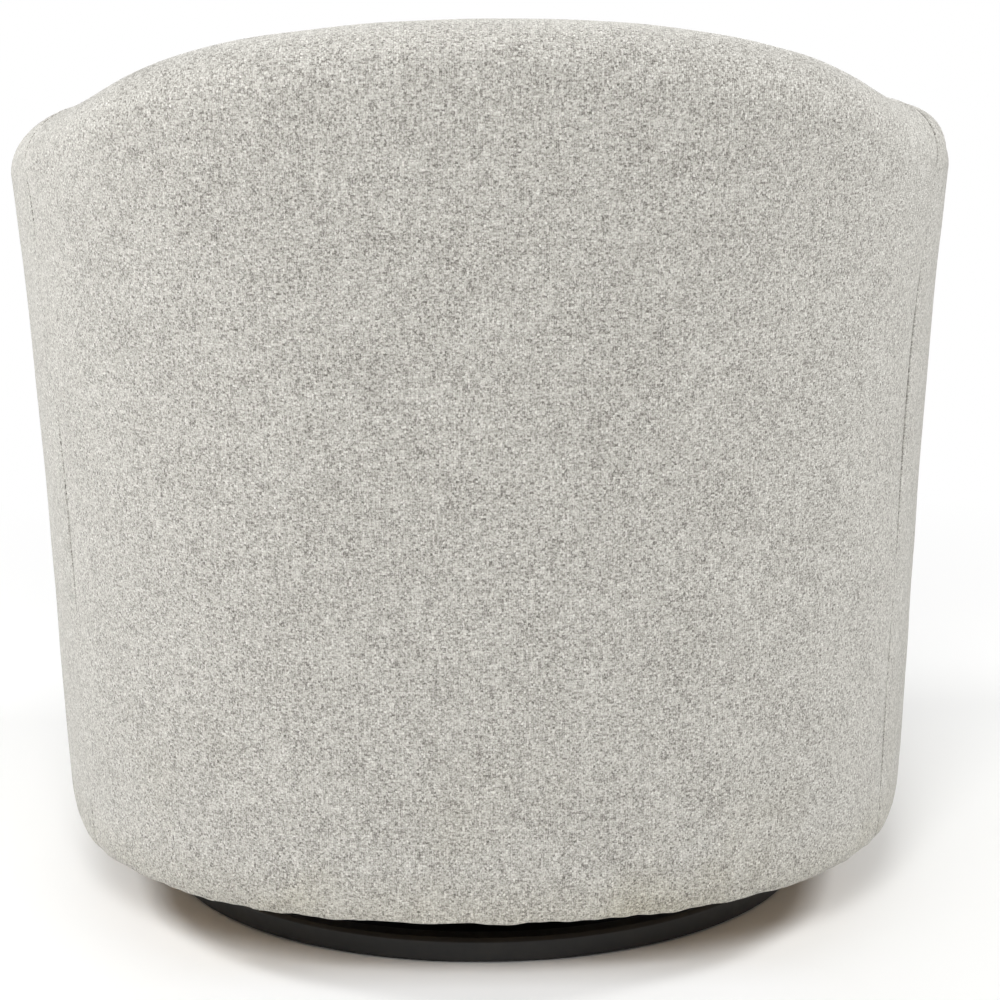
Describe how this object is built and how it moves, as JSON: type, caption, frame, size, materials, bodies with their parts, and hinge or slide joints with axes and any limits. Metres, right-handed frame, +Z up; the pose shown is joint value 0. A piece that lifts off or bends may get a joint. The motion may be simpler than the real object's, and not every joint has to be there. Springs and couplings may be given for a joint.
{
  "type": "swivel rocker chair",
  "caption": "Upholstered barrel-back armchair that swivels on a low black ring base and rocks on a sprung steel frame under its seat.",
  "frame": {"origin": "on the swivel axis at floor level, midway between the arm fronts and the rear of the back", "axes": "+Z up along the swivel axis, +Y towards the back, so the sitter faces -Y and the sitter's left is +X; the rocking axis is parallel to X"},
  "size_m": [0.7802, 0.7783, 0.7699],
  "materials": {
    "tweed": "matte",
    "satin_black": "satin",
    "black_steel": "matte",
    "zinc_steel": "satin",
    "bearing_steel": "polished",
    "nylon": "satin",
    "rubber": "matte",
    "spring_steel": "satin",
    "hardwood": "matte",
    "plywood": "matte",
    "webbing": "matte",
    "deck_felt": "matte",
    "dust_cloth": "matte",
    "fibreboard": "matte",
    "foam": "matte"
  },
  "bodies": {
    "floor_base": {"base_ring": "satin_black", "ring_glides": "nylon", "spider": "black_steel", "spider_screws": "zinc_steel", "lower_race": "bearing_steel", "swivel_post": "zinc_steel", "post_washer": "zinc_steel", "post_nut": "zinc_steel"},
    "ball_cage": {"race_cage": "nylon", "race_balls": "bearing_steel"},
    "swivel_frame": {"upper_race": "bearing_steel", "swivel_plate": "black_steel", "plate_bolts": "zinc_steel", "rocker_lower_frame": "black_steel", "pivot_bolts": "zinc_steel", "rock_bumpers": "rubber", "front_rock_springs": "spring_steel", "rear_rock_springs": "spring_steel"},
    "seat_body": {"rocker_upper_frame": "black_steel", "pivot_bushes": "nylon", "frame_bolts": "zinc_steel", "front_cleat": "hardwood", "rear_cleat": "hardwood", "dust_cover": "dust_cloth", "bottom_front_rail": "plywood", "bottom_back_rail": "plywood", "left_bottom_rail": "plywood", "right_bottom_rail": "plywood", "seat_front_board": "plywood", "seat_back_board": "plywood", "left_seat_board": "plywood", "right_seat_board": "plywood", "seat_corner_boards": "plywood", "left_arm_posts": "hardwood", "right_arm_posts": "hardwood", "back_posts": "hardwood", "back_top_rail": "plywood", "left_arm_rail": "plywood", "right_arm_rail": "plywood", "seat_webbing": "webbing", "seat_deck": "deck_felt", "back_webbing": "webbing", "left_arm_liner": "fibreboard", "right_arm_liner": "fibreboard", "back_crest_padding": "foam", "left_crest_padding": "foam", "right_crest_padding": "foam", "outside_back_panel": "tweed", "left_outside_arm_panel": "tweed", "right_outside_arm_panel": "tweed", "inside_back_pad": "tweed", "left_inside_arm_pad": "tweed", "right_inside_arm_pad": "tweed", "left_arm_front_panel": "tweed", "right_arm_front_panel": "tweed", "front_border": "tweed", "seat_cushion": "tweed"}
  },
  "joints": [
    {"name": "swivel", "type": "hinge", "parent": "floor_base", "child": "swivel_frame", "pos_m": [0, 0, 0.021], "axis": [0, 0, 1], "continuous": true},
    {"name": "cage_spin", "type": "hinge", "parent": "floor_base", "child": "ball_cage", "pos_m": [0, 0, 0.021], "axis": [0, 0, 1], "continuous": true},
    {"name": "rock", "type": "hinge", "parent": "swivel_frame", "child": "seat_body", "pos_m": [0, 0, 0.1], "axis": [-1, 0, 0], "range_deg": [-6, 8], "stiffness_Nm_per_rad": 450, "springref_deg": 1.1, "deforming": ["front_rock_springs", "rear_rock_springs"]}
  ],
  "couplings": [
    {"joint": "cage_spin", "follows": "swivel", "ratio": 0.5}
  ]
}
